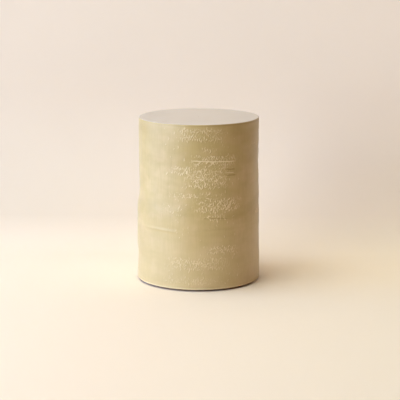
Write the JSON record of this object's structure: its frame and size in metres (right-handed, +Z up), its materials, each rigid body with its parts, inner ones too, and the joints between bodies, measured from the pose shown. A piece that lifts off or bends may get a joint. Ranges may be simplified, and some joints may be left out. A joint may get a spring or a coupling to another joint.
{
  "type": "ceramic garden stool",
  "caption": "Glazed stoneware garden stool: a plain hollow upright drum with a flat top, built in courses on a bare foot ring with felt pads.",
  "frame": {"origin": "on the floor, at the middle of the drum", "axes": "+Z up along the drum's axis; -Y towards the viewer in the picture, +X to the viewer's right"},
  "size_m": [0.3426, 0.3426, 0.457],
  "materials": {
    "glazed_stoneware": "satin khaki cream glaze with fine pale flecks",
    "bare_stoneware": "unglazed fired stoneware, matte and slightly gritty",
    "pad_felt": "pressed brown felt",
    "pad_adhesive": "pressure-sensitive adhesive disc"
  },
  "bodies": {
    "root": {"foot_course": "glazed_stoneware", "belly_course": "glazed_stoneware", "waist_course": "glazed_stoneware", "rim_course": "glazed_stoneware", "seat_slab": "glazed_stoneware", "base_slab": "glazed_stoneware", "foot_ring": "bare_stoneware", "base_corner_coil": "bare_stoneware", "low_seam_coil": "bare_stoneware", "mid_seam_coil": "bare_stoneware", "high_seam_coil": "bare_stoneware", "seat_corner_coil": "bare_stoneware", "floor_pad_front_left": "pad_felt", "floor_pad_front_right": "pad_felt", "floor_pad_back_left": "pad_felt", "floor_pad_back_right": "pad_felt", "pad_tape_front_left": "pad_adhesive", "pad_tape_front_right": "pad_adhesive", "pad_tape_back_left": "pad_adhesive", "pad_tape_back_right": "pad_adhesive"}
  },
  "joints": []
}
